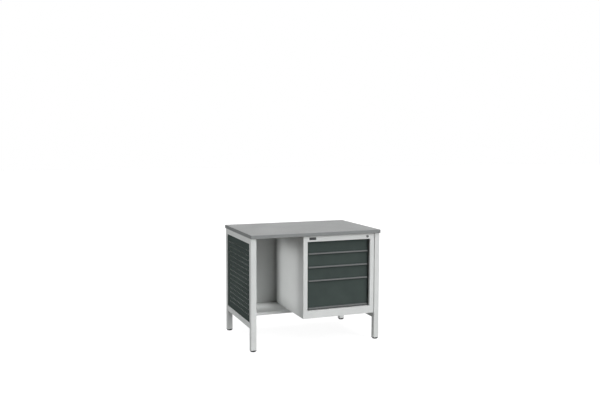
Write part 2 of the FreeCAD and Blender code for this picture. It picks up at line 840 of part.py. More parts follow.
def cabinet_nodes():
    """The cabinet without its drawers."""
    return {
        "cabinet_front_frame": cabinet_front_frame(),
        "cabinet_left_side": cabinet_side(-1),
        "cabinet_right_side": cabinet_side(1),
        "cabinet_base": cabinet_base(),
        "cabinet_back": cabinet_back(),
        "left_slide_uprights": slide_uprights(-1),
        "right_slide_uprights": slide_uprights(1),
        "lock_housing": lock_housing(),
        "lock_nut": lock_nut(),
        "lock_plug": lock_plug(),
        "lock_cam": lock_cam(),
        "locking_bar": locking_bar(),
        "locking_bar_guides": locking_bar_guides(),
        "blank_plate": blank_plate(),
    }


def drawer_nodes():
    """The pieces of each drawer."""
    nodes = {}
    for name, (bottom, top) in zip(drawer_names, drawer_levels()):
        nodes[f"{name}_front"] = drawer_front(bottom, top)
        nodes[f"{name}_grip"] = grip_strip(bottom)
        nodes[f"{name}_tray"] = tray(bottom, top)
        for place, rails in enumerate(("outer", "middle", "inner")):
            nodes[f"{name}_{rails}_rails"] = rail_pair(bottom, place)
    return nodes


def main():
    os.makedirs("parts", exist_ok=True)
    nodes = {**frame_nodes(), **cabinet_nodes(), **drawer_nodes()}
    nodes["worktop_screws"] = worktop_screws()
    nodes["sheet_screws"] = sheet_screws()
    for name, shape in nodes.items():
        shape.exportStep(f"parts/{name}.step")
    print(len(nodes), "nodes written; the drawers travel", drawer_travel, "mm")


main()
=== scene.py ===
"""The looks of a steel workbench: laminated worktop, square-tube side frames with perforated
panels, back panel, low shelf and a lockable cabinet of four drawers.

Everything is in metres, in the frame of the part: +X to the right, +Y to the back, +Z up.
"""
import json
import math

import bmesh
import bpy
from mathutils import Matrix, Vector


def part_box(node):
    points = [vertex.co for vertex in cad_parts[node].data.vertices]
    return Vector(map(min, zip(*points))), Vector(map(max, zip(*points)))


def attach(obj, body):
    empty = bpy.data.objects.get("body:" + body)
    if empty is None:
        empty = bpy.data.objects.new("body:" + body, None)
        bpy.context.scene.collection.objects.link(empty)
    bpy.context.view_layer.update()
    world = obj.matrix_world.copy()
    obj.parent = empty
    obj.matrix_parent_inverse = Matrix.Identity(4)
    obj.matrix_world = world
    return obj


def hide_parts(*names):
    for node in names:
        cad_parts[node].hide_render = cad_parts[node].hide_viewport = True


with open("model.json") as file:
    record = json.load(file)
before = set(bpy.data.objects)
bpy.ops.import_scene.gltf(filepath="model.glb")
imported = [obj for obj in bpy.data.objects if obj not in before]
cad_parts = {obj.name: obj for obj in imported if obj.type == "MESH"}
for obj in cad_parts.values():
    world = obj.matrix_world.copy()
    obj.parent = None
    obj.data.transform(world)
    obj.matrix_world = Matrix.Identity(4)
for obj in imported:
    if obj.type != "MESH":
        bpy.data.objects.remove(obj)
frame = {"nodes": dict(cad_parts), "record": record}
bpy.ops.object.select_all(action="DESELECT")
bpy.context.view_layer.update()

MM = 0.001
NODES = frame["nodes"]
AXES = {"x": Vector((1, 0, 0)), "y": Vector((0, 1, 0)), "z": Vector((0, 0, 1))}


# ---------------------------------------------------------------- camera and lights

# lens and sensor in mm, place in metres, angles in degrees
LENS = 42.29
SENSOR_WIDTH = 36.0
CAMERA_PLACE = (-1.94214, -4.94290, 1.48036)
YAW, PITCH, ROLL = 21.3748, 4.8352, 0.1607
FARTHEST_SEEN = 100.0


def make_camera():
    """The camera in front of the bench's left corner, a little above the worktop."""
    data = bpy.data.cameras.new("camera")
    data.sensor_width = SENSOR_WIDTH
    data.lens = LENS
    data.clip_end = FARTHEST_SEEN
    camera = bpy.data.objects.new("camera", data)
    bpy.context.scene.collection.objects.link(camera)
    turn = (
        Matrix.Rotation(math.radians(-YAW), 4, "Z")
        @ Matrix.Rotation(math.radians(90 - PITCH), 4, "X")
        @ Matrix.Rotation(math.radians(ROLL), 4, "Z")
    )
    camera.matrix_world = Matrix.Translation(CAMERA_PLACE) @ turn
    bpy.context.scene.camera = camera


def hang_light(name, kind):
    """A new light in the scene."""
    light = bpy.data.objects.new(name, bpy.data.lights.new(name, kind))
    bpy.context.scene.collection.objects.link(light)
    return light


def make_light(name, towards, strength, spread, gloss=True):
    """A far, wide studio light, spread degrees across. towards points from the bench to the light."""
    light = hang_light(name, "SUN")
    light.data.energy = strength
    light.data.angle = math.radians(spread)
    light.rotation_euler = Vector(towards).to_track_quat("Z", "Y").to_euler()
    light.visible_glossy = gloss


def make_gridded_box(name, place, towards, width, height, spread, watts):
    """A rectangular light with a honeycomb grid that narrows its beam. The camera doesn't see it."""
    light = hang_light(name, "AREA")
    light.data.shape = "RECTANGLE"
    light.data.size = width
    light.data.size_y = height
    light.data.energy = watts
    light.data.spread = math.radians(spread)
    light.location = place
    light.rotation_euler = Vector(towards).to_track_quat("-Z", "Y").to_euler()
    light.visible_camera = False


def light_the_studio():
    """Soft light from above, in front, the left and behind, and two boxes that reach under the worktop."""
    make_light("overhead_light", towards=(0.0, -0.10, 1.0), strength=2.60, spread=70)
    make_light("front_light", towards=(0.5, -1.0, 0.30), strength=2.15, spread=50)
    make_light("high_front_light", towards=(0.5, -1.0, 0.95), strength=0.60, spread=20)
    make_light("left_light", towards=(-1.0, 0.05, 0.15), strength=1.45, spread=40)
    make_light("rear_light", towards=(0.4, 1.0, 0.35), strength=1.20, spread=50, gloss=False)
    make_gridded_box(
        "knee_space_fill", place=(-0.43, -0.02, 0.44), towards=(1.0, -0.05, 0.0),
        width=0.44, height=0.50, spread=50, watts=0.44)
    make_gridded_box(
        "shelf_fill", place=(-0.28, 0.17, 0.74), towards=(0.0, 0.0, -1.0),
        width=0.14, height=0.10, spread=30, watts=0.048)
    bpy.context.scene.view_settings.view_transform = "Standard"


# ---------------------------------------------------------------- nodes

# the sockets of a colour Mix node: its two colours, and its result
FIRST, SECOND, MIXED = 6, 7, 2


def colour(code):
    """A linear colour with alpha from an sRGB hex value such as "d7d7d7"."""
    values = []
    for start in (0, 2, 4):
        share = int(code[start:start + 2], 16) / 255
        values.append(share / 12.92 if share <= 0.04045 else ((share + 0.055) / 1.055) ** 2.4)
    return (*values, 1.0)


def add(owner, kind, inputs, **settings):
    """Adds a node to a material or world. Each input gets a value, or a link from (node, output)."""
    node = owner.node_tree.nodes.new("ShaderNode" + kind)
    for name, value in settings.items():
        setattr(node, name, value)
    for name, value in inputs.items():
        if isinstance(value, tuple) and isinstance(value[0], bpy.types.Node):
            owner.node_tree.links.new(value[0].outputs[value[1]], node.inputs[name])
        else:
            node.inputs[name].default_value = value
    return node


def make_world():
    """Studio air: plain white behind the bench. It sheds no light, which comes from the lights alone."""
    world = bpy.data.worlds.new("studio")
    world.use_nodes = True
    world.node_tree.nodes.clear()
    bpy.context.scene.world = world
    path = add(world, "LightPath", {})
    white = add(world, "Background", {"Color": colour("ffffff"), "Strength": (path, "Is Camera Ray")})
    add(world, "OutputWorld", {"Surface": (white, 0)})


def start_finish(name, **sockets):
    """A new material with these uniform values on its shader. Returns it and its Object coordinates."""
    material = bpy.data.materials.new(name)
    material.use_nodes = True
    shader = material.node_tree.nodes["Principled BSDF"]
    for socket, value in sockets.items():
        shader.inputs[socket.replace("_", " ")].default_value = value
    return material, (add(material, "TexCoord", {}), "Object")


def end_finish(material, **sockets):
    """Links (node, output) pairs to sockets of the material's shader."""
    shader = material.node_tree.nodes["Principled BSDF"]
    for socket, (node, output) in sockets.items():
        material.node_tree.links.new(node.outputs[output], shader.inputs[socket.replace("_", " ")])
    return material


# ---------------------------------------------------------------- finishes

def per_metre(width):
    """The Scale that draws a pattern's cells this wide in mm, as Object coordinates are in metres."""
    return 1 / (width * MM)


def powder_coat(name, deep, pale, roughness, speck, shine):
    """Polyester powder coat on sheet steel, sprayed and baked: a satin skin that flows into orange peel.

    The peel's waves are about 2.5 mm wide. The pigment differs slightly between deep and pale, in clouds
    0.14 m wide.
    """
    material, place = start_finish(name, Metallic=0.0, IOR=1.5, Specular_IOR_Level=shine)
    waves = {"Scale": per_metre(2.5), "Detail": 1.5, "Roughness": 0.45}
    peel = add(material, "TexNoise", {"Vector": place, **waves})
    # grains of 0.15 mm are too fine to show, so they are drawn 1.2 mm wide
    grain = add(material, "TexNoise", {"Vector": place, "Scale": per_metre(1.17647), "Detail": 2.0})
    cloud = add(material, "TexNoise", {"Vector": place, "Scale": per_metre(142.857), "Detail": 3.0})
    blend = add(material, "Math", {0: (grain, "Fac"), 1: speck}, operation="MULTIPLY")
    shade = add(material, "Math", {0: (cloud, "Fac"), 1: (blend, 0)}, operation="ADD")
    spread = add(material, "MapRange", {"Value": (shade, 0), "From Min": 0.35, "From Max": 0.65 + speck})
    tones = {FIRST: colour(deep), SECOND: colour(pale)}
    paint = add(material, "Mix", {0: (spread, 0), **tones}, data_type="RGBA")
    gloss_range = {"To Min": roughness - 0.07, "To Max": roughness + 0.07}
    gloss = add(material, "MapRange", {"Value": (cloud, "Fac"), **gloss_range})
    skin = add(material, "Math", {0: (grain, "Fac"), 1: 0.25, 2: (peel, "Fac")}, operation="MULTIPLY_ADD")
    bump = add(material, "Bump", {"Height": (skin, 0), "Strength": 0.50, "Distance": 0.30 * MM})
    return end_finish(material, Base_Color=(paint, MIXED), Roughness=(gloss, 0), Normal=(bump, 0))


def laminate_top():
    """High-pressure laminate pressed against a stipple plate: matt mid grey with a fine two-tone fleck.

    The flecks are 1 mm across and the stipple 1.6 mm.
    """
    material, place = start_finish("high_pressure_laminate", Metallic=0.0, IOR=1.5, Specular_IOR_Level=0.15)
    flecks = {"Scale": per_metre(1.0), "Detail": 2.0, "Roughness": 0.7}
    fleck = add(material, "TexNoise", {"Vector": place, **flecks})
    cloud = add(material, "TexNoise", {"Vector": place, "Scale": per_metre(200), "Detail": 4.0})
    mixed = add(material, "Math", {0: (cloud, "Fac"), 1: 0.35, 2: (fleck, "Fac")}, operation="MULTIPLY_ADD")
    spread = add(material, "MapRange", {"Value": (mixed, 0), "From Min": 0.45, "From Max": 0.90})
    greys = {FIRST: colour("868787"), SECOND: colour("9fa0a0")}
    paper = add(material, "Mix", {0: (spread, 0), **greys}, data_type="RGBA")
    gloss = add(material, "MapRange", {"Value": (cloud, "Fac"), "To Min": 0.52, "To Max": 0.68})
    stipple = add(material, "TexVoronoi", {"Vector": place, "Scale": per_metre(1.6129)}, feature="SMOOTH_F1")
    bump = add(material, "Bump", {"Height": (stipple, "Distance"), "Strength": 0.25, "Distance": 0.10 * MM})
    return end_finish(material, Base_Color=(paper, MIXED), Roughness=(gloss, 0), Normal=(bump, 0))


def edge_band():
    """ABS edging, extruded with a 1.1 mm sand grain: satin, a shade darker than the laminate it meets."""
    material, place = start_finish("abs_edging", Metallic=0.0, IOR=1.53)
    sand = add(material, "TexNoise", {"Vector": place, "Scale": per_metre(1.11111), "Detail": 2.0})
    cloud = add(material, "TexNoise", {"Vector": place, "Scale": per_metre(111.111), "Detail": 3.0})
    greys = {FIRST: colour("737676"), SECOND: colour("7d8080")}
    tone = add(material, "Mix", {0: (cloud, "Fac"), **greys}, data_type="RGBA")
    gloss = add(material, "MapRange", {"Value": (sand, "Fac"), "To Min": 0.38, "To Max": 0.58})
    bump = add(material, "Bump", {"Height": (sand, "Fac"), "Strength": 0.22, "Distance": 0.10 * MM})
    return end_finish(material, Base_Color=(tone, MIXED), Roughness=(gloss, 0), Normal=(bump, 0))


def backing_paper():
    """Kraft backing paper on particle board: dull brown grey with short fibres, 6 mm long and 0.7 mm wide."""
    material, place = start_finish("kraft_backing_paper", Metallic=0.0, IOR=1.45)
    along, across = per_metre(6.25), per_metre(0.714286)
    stretch = add(material, "Mapping", {"Vector": place, "Scale": (along, across, across)})
    fibre = add(material, "TexNoise", {"Vector": (stretch, 0), "Scale": 1.0, "Detail": 3.0, "Roughness": 0.6})
    cloud = add(material, "TexNoise", {"Vector": place, "Scale": per_metre(83.3333), "Detail": 4.0})
    mixed = add(material, "Math", {0: (fibre, "Fac"), 1: 0.7, 2: (cloud, "Fac")}, operation="MULTIPLY_ADD")
    spread = add(material, "MapRange", {"Value": (mixed, 0), "From Min": 0.55, "From Max": 1.15})
    browns = {FIRST: colour("6f665a"), SECOND: colour("8b8172")}
    paper = add(material, "Mix", {0: (spread, 0), **browns}, data_type="RGBA")
    gloss = add(material, "MapRange", {"Value": (fibre, "Fac"), "To Min": 0.60, "To Max": 0.80})
    bump = add(material, "Bump", {"Height": (fibre, "Fac"), "Strength": 0.25, "Distance": 0.10 * MM})
    return end_finish(material, Base_Color=(paper, MIXED), Roughness=(gloss, 0), Normal=(bump, 0))


def bright_zinc():
    """Bright zinc plate on rolled steel: bluish silver with faint straw stains and rolling lines.

    The lines run along Y, about 0.8 mm apart. The stains are 40 mm wide.
    """
    material, place = start_finish("bright_zinc_plate", Metallic=1.0)
    stain = add(material, "TexNoise", {"Vector": place, "Scale": per_metre(40), "Detail": 3.0})
    along, across = per_metre(28.5714), per_metre(0.8)
    stretch = add(material, "Mapping", {"Vector": place, "Scale": (across, along, across)})
    lines = add(material, "TexNoise", {"Vector": (stretch, 0), "Scale": 1.0, "Detail": 2.0})
    spread = add(material, "MapRange", {"Value": (stain, "Fac"), "From Min": 0.35, "From Max": 0.70})
    silvers = {FIRST: colour("c4c9cd"), SECOND: colour("cbc9c0")}
    plate = add(material, "Mix", {0: (spread, 0), **silvers}, data_type="RGBA")
    gloss = add(material, "MapRange", {"Value": (lines, "Fac"), "To Min": 0.22, "To Max": 0.44})
    bump = add(material, "Bump", {"Height": (lines, "Fac"), "Strength": 0.15, "Distance": 0.05 * MM})
    return end_finish(material, Base_Color=(plate, MIXED), Roughness=(gloss, 0), Normal=(bump, 0))


def black_nickel():
    """Black nickel on die-cast zinc: smoky grey metal, tumbled, with haze in 3 mm patches."""
    material, place = start_finish("black_nickel_plate", Metallic=1.0)
    haze = add(material, "TexNoise", {"Vector": place, "Scale": per_metre(3.0303), "Detail": 3.0})
    greys = {FIRST: colour("7a7b7c"), SECOND: colour("8a8b8b")}
    plate = add(material, "Mix", {0: (haze, "Fac"), **greys}, data_type="RGBA")
    gloss = add(material, "MapRange", {"Value": (haze, "Fac"), "To Min": 0.16, "To Max": 0.34})
    bump = add(material, "Bump", {"Height": (haze, "Fac"), "Strength": 0.10, "Distance": 0.05 * MM})
    return end_finish(material, Base_Color=(plate, MIXED), Roughness=(gloss, 0), Normal=(bump, 0))


def polyamide(name, deep, pale):
    """Moulded glass-filled polyamide from a spark-eroded mould: near black, dull, with a 0.8 mm pebble."""
    material, place = start_finish(name, Metallic=0.0, IOR=1.53)
    pebble = add(material, "TexVoronoi", {"Vector": place, "Scale": per_metre(0.8)}, feature="SMOOTH_F1")
    cloud = add(material, "TexNoise", {"Vector": place, "Scale": per_metre(16.6667), "Detail": 3.0})
    tones = {FIRST: colour(deep), SECOND: colour(pale)}
    tone = add(material, "Mix", {0: (cloud, "Fac"), **tones}, data_type="RGBA")
    gloss = add(material, "MapRange", {"Value": (cloud, "Fac"), "To Min": 0.45, "To Max": 0.65})
    bump = add(material, "Bump", {"Height": (pebble, "Distance"), "Strength": 0.30, "Distance": 0.10 * MM})
    return end_finish(material, Base_Color=(tone, MIXED), Roughness=(gloss, 0), Normal=(bump, 0))


def grip_profile_finish():
    """Rigid PVC grip profile: satin mid grey, with die lines 0.6 mm apart along its length."""
    material, place = start_finish("extruded_grip_profile", Metallic=0.0, IOR=1.53)
    along, across = per_metre(83.3333), per_metre(0.625)
    stretch = add(material, "Mapping", {"Vector": place, "Scale": (along, across, across)})
    lines = add(material, "TexNoise", {"Vector": (stretch, 0), "Scale": 1.0, "Detail": 2.0})
    greys = {FIRST: colour("555858"), SECOND: colour("656868")}
    tone = add(material, "Mix", {0: (lines, "Fac"), **greys}, data_type="RGBA")
    gloss = add(material, "MapRange", {"Value": (lines, "Fac"), "To Min": 0.34, "To Max": 0.50})
    bump = add(material, "Bump", {"Height": (lines, "Fac"), "Strength": 0.20, "Distance": 0.06 * MM})
    return end_finish(material, Base_Color=(tone, MIXED), Roughness=(gloss, 0), Normal=(bump, 0))


def pale_floor():
    """Opal floor sheet with faint 0.3 m clouds, lit from below. It looks brighter than the light it sheds."""
    sheet = {"Metallic": 0.0, "IOR": 1.45, "Specular_IOR_Level": 0.1, "Emission_Color": colour("ffffff")}
    material, place = start_finish("opal_floor_sheet", **sheet)
    path = add(material, "LightPath", {})
    glow_seen, glow_shed = 0.89, 0.09
    glow_levels = {1: glow_seen - glow_shed, 2: glow_shed}
    glow = add(material, "Math", {0: (path, "Is Camera Ray"), **glow_levels}, operation="MULTIPLY_ADD")
    cloud = add(material, "TexNoise", {"Vector": place, "Scale": per_metre(333.333), "Detail": 3.0})
    greys = {FIRST: colour("7e7e7e"), SECOND: colour("828282")}
    tone = add(material, "Mix", {0: (cloud, "Fac"), **greys}, data_type="RGBA")
    gloss = add(material, "MapRange", {"Value": (cloud, "Fac"), "To Min": 0.75, "To Max": 0.85})
    return end_finish(material, Base_Color=(tone, MIXED), Roughness=(gloss, 0), Emission_Strength=(glow, 0))


FINISHES = {
    "light_paint": powder_coat("light_grey_powder_coat", "cacccb", "d1d3d2", 0.50, 0.25, 0.35),
    "dark_paint": powder_coat("anthracite_powder_coat", "3d4543", "464f4c", 0.66, 0.40, 0.03),
    "grip_grey": grip_profile_finish(),
    "laminate": laminate_top(),
    "edging": edge_band(),
    "board_core": backing_paper(),
    "zinc_plate": bright_zinc(),
    "chrome": black_nickel(),
    "black_plastic": polyamide("black_polyamide", "1b1c1d", "252728"),
    "dark_plastic": polyamide("anthracite_polyamide", "26292a", "303334"),
}

for part in frame["record"]["subparts"]:
    NODES[part["node"]].material_slots[0].material = FINISHES[part["material_slot"]]


# ---------------------------------------------------------------- modelling by hand

# lengths that differ by less than this are the same
HAIR = 0.02 * MM


def one_only(piece):
    """Selects one piece and nothing else, out of edit mode."""
    if bpy.context.mode != "OBJECT":
        bpy.ops.object.mode_set(mode="OBJECT")
    bpy.ops.object.select_all(action="DESELECT")
    piece.select_set(True)
    bpy.context.view_layer.objects.active = piece


def settle():
    """Puts the active piece's place into its mesh."""
    bpy.ops.object.transform_apply(location=True, rotation=True, scale=True)


def start_block(name, low, high):
    """A block between two corners, ready to be shaped."""
    bpy.ops.mesh.primitive_cube_add(size=1.0, location=(Vector(low) + Vector(high)) / 2)
    piece = bpy.context.object
    piece.scale = Vector(high) - Vector(low)
    settle()
    piece.name = name
    return piece


def start_round(name, base, axis, radius, depth, sides):
    """A round bar from its base along an axis, ready to be shaped."""
    turn = {"x": (0, math.pi / 2, 0), "y": (-math.pi / 2, 0, 0), "z": (0, 0, 0)}[axis]
    middle = Vector(base) + AXES[axis] * depth / 2
    bpy.ops.mesh.primitive_cylinder_add(
        vertices=sides, radius=radius, depth=depth, location=middle, rotation=turn)
    settle()
    piece = bpy.context.object
    piece.name = name
    return piece


def pick(piece, test, kind="FACE"):
    """Opens a piece in edit mode and selects what passes a test.

    The test gets a face's centre and normal, or an edge's two ends.
    """
    one_only(piece)
    bpy.ops.object.mode_set(mode="EDIT")
    bpy.ops.mesh.select_mode(type=kind)
    bpy.ops.mesh.select_all(action="DESELECT")
    mesh = bmesh.from_edit_mesh(piece.data)
    if kind == "FACE":
        for face in mesh.faces:
            face.select_set(test(face.calc_center_median(), face.normal))
    else:
        for edge in mesh.edges:
            edge.select_set(test(edge.verts[0].co, edge.verts[1].co))
    bmesh.update_edit_mesh(piece.data)


def extrude(shift):
    """Extrudes what is selected by a shift."""
    bpy.ops.mesh.extrude_region_move(TRANSFORM_OT_translate={"value": shift})


def near(a, b, gap=HAIR):
    """Whether two lengths agree."""
    return abs(a - b) < gap


def cut_across(piece, axis, levels):
    """Cuts new edges round a piece where it crosses each level of an axis."""
    one_only(piece)
    bpy.ops.object.mode_set(mode="EDIT")
    for level in levels:
        bpy.ops.mesh.select_all(action="SELECT")
        bpy.ops.mesh.bisect(plane_co=AXES[axis] * level, plane_no=AXES[axis])
    bpy.ops.object.mode_set(mode="OBJECT")


def break_edges(piece, width, segments=2, least_angle=40):
    """Rounds a piece's sharp edges."""
    one_only(piece)
    modifier = piece.modifiers.new("broken_edges", "BEVEL")
    modifier.width = width
    modifier.segments = segments
    modifier.limit_method = "ANGLE"
    modifier.angle_limit = math.radians(least_angle)
    modifier.use_clamp_overlap = True
    bpy.ops.object.modifier_apply(modifier=modifier.name)


def copies(piece, places, name):
    """Copies a piece, each copy with its own mesh, by the given matrices, and joins them into one."""
    made = []
    for place in places:
        copy = bpy.data.objects.new(name, piece.data.copy())
        bpy.context.scene.collection.objects.link(copy)
        copy.data.transform(place)
        made.append(copy)
    bpy.data.objects.remove(piece)
    return joined(made, name)


def joined(parts, name):
    """Several pieces made into one."""
    bpy.ops.object.select_all(action="DESELECT")
    for part in parts:
        part.select_set(True)
    bpy.context.view_layer.objects.active = parts[0]
    if len(parts) > 1:
        bpy.ops.object.join()
    parts[0].name = name
    return parts[0]


def outward(piece):
    """Merges a piece's doubles and turns its faces outwards."""
    one_only(piece)
    bpy.ops.object.mode_set(mode="EDIT")
    bpy.ops.mesh.select_all(action="SELECT")
    bpy.ops.mesh.remove_doubles(threshold=HAIR / 10)
    bpy.ops.mesh.normals_make_consistent(inside=False)
    bpy.ops.object.mode_set(mode="OBJECT")


def finish_piece(piece, body, slot, *nodes, smooth=35):
    """Gives a piece its finish and its body. It stands for the named CAD nodes."""
    one_only(piece)
    if not piece.data.materials:
        piece.data.materials.append(FINISHES[slot])
    bpy.ops.object.shade_smooth_by_angle(angle=math.radians(smooth))
    flat_faces = piece.modifiers.new("flat_faces", "WEIGHTED_NORMAL")
    flat_faces.keep_sharp = True
    bpy.ops.object.modifier_apply(modifier=flat_faces.name)
    bpy.ops.object.select_all(action="DESELECT")
    piece.data.name = piece.name
    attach(piece, body)
    if nodes:
        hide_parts(*nodes)


# ---------------------------------------------------------------- levelling feet

PAD_HEIGHT = 6.7 * MM
PAD_RIM_HEIGHT = 5.2 * MM
PAD_SIDES = 48
# the pad's shoulder above its rim: rise, and the share of its width that it keeps
PAD_SHOULDER = ((0.9 * MM, 0.955), (0.6 * MM, 0.90))
FLUTE_DEPTH = 0.5 * MM
FLUTE_MARGIN = 0.35 * MM

# the dish round the stem: how far its two slopes run in, and its depth
DISH_OUTER_RUN = 3.0 * MM
DISH_INNER_RUN = 2.2 * MM
DISH_DEPTH = 0.7 * MM
# the hollow under the pad: the rim left round it, how far its slope runs in, and its depth
SOLE_RIM = 1.2 * MM
SOLE_RUN = 1.8 * MM
SOLE_DEPTH = 1.6 * MM

STEM_RADIUS = 5.0 * MM
# how far the stem reaches down into the pad
STEM_SEAT = 1.0 * MM
STEM_CHAMFER = 0.6 * MM
STEM_SIDES = 24
THREAD_PITCH = 1.5 * MM
THREAD_DEPTH = 0.65 * MM
# radius of the triangle that is wound into the thread, which roots in the core
RIDGE = 0.80 * MM
STEPS_PER_TURN = 18


def wind_thread(x, y, low, high):
    """A triangular ridge wound up the stem."""
    bpy.ops.mesh.primitive_circle_add(
        vertices=3, radius=RIDGE, fill_type="NOTHING",
        location=(x, y, low + RIDGE), rotation=(math.pi / 2, math.pi / 2, 0))
    bpy.ops.object.transform_apply(location=False, rotation=True, scale=True)
    thread = bpy.context.object
    bpy.ops.object.mode_set(mode="EDIT")
    bpy.ops.mesh.select_all(action="SELECT")
    bpy.ops.transform.translate(value=(STEM_RADIUS - RIDGE, 0, 0))
    bpy.ops.object.mode_set(mode="OBJECT")
    winding = thread.modifiers.new("winding", "SCREW")
    winding.axis = "Z"
    winding.screw_offset = THREAD_PITCH
    winding.iterations = int((high - low - 2 * RIDGE) / THREAD_PITCH)
    winding.steps = winding.render_steps = STEPS_PER_TURN
    bpy.ops.object.modifier_apply(modifier=winding.name)
    settle()
    bpy.ops.object.mode_set(mode="EDIT")
    bpy.ops.mesh.select_all(action="SELECT")
    bpy.ops.mesh.fill_holes(sides=4)
    bpy.ops.object.mode_set(mode="OBJECT")
    outward(thread)
    return thread


def make_stem(name, x, y, low, high):
    """A stem with a helical thread, its core's ends chamfered."""
    core = start_round(name, (x, y, low), "z", STEM_RADIUS - THREAD_DEPTH, high - low, STEM_SIDES)
    break_edges(core, STEM_CHAMFER, segments=1, least_angle=60)
    return joined([core, wind_thread(x, y, low, high)], name)


def make_foot(node):
    """A moulded pad with a fluted rim and a hollow underside, on its zinc-plated stem."""
    low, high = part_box(node)
    x, y = (low.x + high.x) / 2, (low.y + high.y) / 2
    radius = (high.x - low.x) / 2
    pad = start_round(f"{node}_pad", (x, y, 0), "z", radius - FLUTE_DEPTH, PAD_RIM_HEIGHT, PAD_SIDES)

    def every_second_side(centre, normal):
        """Each other face of the rim."""
        turn = math.atan2(centre.y - y, centre.x - x) * PAD_SIDES / (2 * math.pi)
        return abs(normal.z) < 0.5 and math.floor(turn) % 2 == 0

    pick(pad, every_second_side)
    bpy.ops.mesh.inset(thickness=FLUTE_MARGIN, depth=FLUTE_DEPTH, use_individual=True)
    pick(pad, lambda centre, normal: near(centre.z, PAD_RIM_HEIGHT))
    for rise, share in PAD_SHOULDER:
        extrude((0, 0, rise))
        bpy.ops.transform.resize(value=(share, share, 1), center_override=(x, y, 0))
    bpy.ops.mesh.inset(thickness=DISH_OUTER_RUN, depth=-DISH_DEPTH)
    bpy.ops.mesh.inset(thickness=DISH_INNER_RUN, depth=DISH_DEPTH)
    pick(pad, lambda centre, normal: near(centre.z, 0))
    bpy.ops.mesh.inset(thickness=SOLE_RIM)
    bpy.ops.mesh.inset(thickness=SOLE_RUN, depth=-SOLE_DEPTH)
    finish_piece(pad, node, "black_plastic", node, smooth=25)
    finish_piece(make_stem(f"{node}_stem", x, y, PAD_HEIGHT - STEM_SEAT, high.z), node, "zinc_plate")


# ---------------------------------------------------------------- grips

GRIP_WALL = 2.0 * MM
GRIP_NOSE_ROUND = 3.2 * MM
GRIP_CAP = 3.0 * MM
# how wide its broken edges are
GRIP_EDGE = 0.35 * MM
# the share of its mouth's width that the finger hollow keeps at its top
HOLLOW_TAPER = 0.72


def make_grip(drawer):
    """An extruded grip strip: a round nose, a finger hollow open below, and a moulded cap at each end."""
    low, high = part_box(f"{drawer}_grip")
    grip = start_block(f"{drawer}_grip_strip", low, high)
    pick(grip, lambda *ends: all(near(end.y, low.y) and near(end.z, high.z) for end in ends), "EDGE")
    bpy.ops.mesh.bevel(offset=GRIP_NOSE_ROUND, segments=6, affect="EDGES")
    pick(grip, lambda centre, normal: normal.z < -0.9)
    bpy.ops.mesh.inset(thickness=GRIP_WALL)
    extrude((0, 0, high.z - low.z - GRIP_WALL))
    bpy.ops.transform.resize(value=(1, HOLLOW_TAPER, 1), center_override=(0, high.y - GRIP_WALL, 0))
    left_cap, right_cap = low.x + GRIP_CAP, high.x - GRIP_CAP
    cut_across(grip, "x", (left_cap, right_cap))
    break_edges(grip, GRIP_EDGE)
    grip.data.materials.append(FINISHES["grip_grey"])
    grip.data.materials.append(FINISHES["dark_plastic"])
    for face in grip.data.polygons:
        if not left_cap < face.center.x < right_cap:
            face.material_index = 1
    finish_piece(grip, drawer, "grip_grey", f"{drawer}_grip")


# ---------------------------------------------------------------- slides and other folded or cut metal

# how wide their broken edges are
CHANNEL_EDGE = 0.25 * MM
LATCH_EDGE = 0.30 * MM

# the panel rolled into a channel's web
WEB_MARGIN = 9.0 * MM
WEB_DEPTH = 0.4 * MM

# how far the inner channel's web lies inside the pair's box
CHANNEL_WEB = 8.3 * MM

RIVET_RADIUS = 3.2 * MM
RIVET_HEIGHT = 1.4 * MM
RIVET_ROUND = 1.1 * MM
RIVET_SIDES = 20
# how far a head is let into the web, and how far the outer rivets are from the channel's ends
RIVET_SEAT = 0.2 * MM
RIVET_FROM_END = 40.0 * MM


def softened(node, name, width):
    """A merged copy of a CAD node with its cut edges broken."""
    piece = bpy.data.objects.new(name, NODES[node].data.copy())
    bpy.context.scene.collection.objects.link(piece)
    one_only(piece)
    bpy.ops.mesh.customdata_custom_splitnormals_clear()
    bpy.ops.object.mode_set(mode="EDIT")
    bpy.ops.mesh.select_all(action="SELECT")
    bpy.ops.mesh.remove_doubles(threshold=0.001 * MM)
    bpy.ops.mesh.dissolve_limited(angle_limit=math.radians(0.5))
    bpy.ops.object.mode_set(mode="OBJECT")
    break_edges(piece, width)
    return piece


def sink_webs(piece, node):
    """Rolls a shallow panel into the outer face of each channel's web."""
    low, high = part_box(node)

    def outer_web(centre, normal):
        """The upright face that lies in the side of the pair's box."""
        side = high.x if normal.x > 0 else low.x
        return abs(normal.x) > 0.99 and near(centre.x, side)

    pick(piece, outer_web)
    bpy.ops.mesh.inset(thickness=WEB_MARGIN, use_individual=True)
    bpy.ops.mesh.inset(thickness=WEB_DEPTH, depth=-WEB_DEPTH, use_individual=True)
    bpy.ops.object.mode_set(mode="OBJECT")


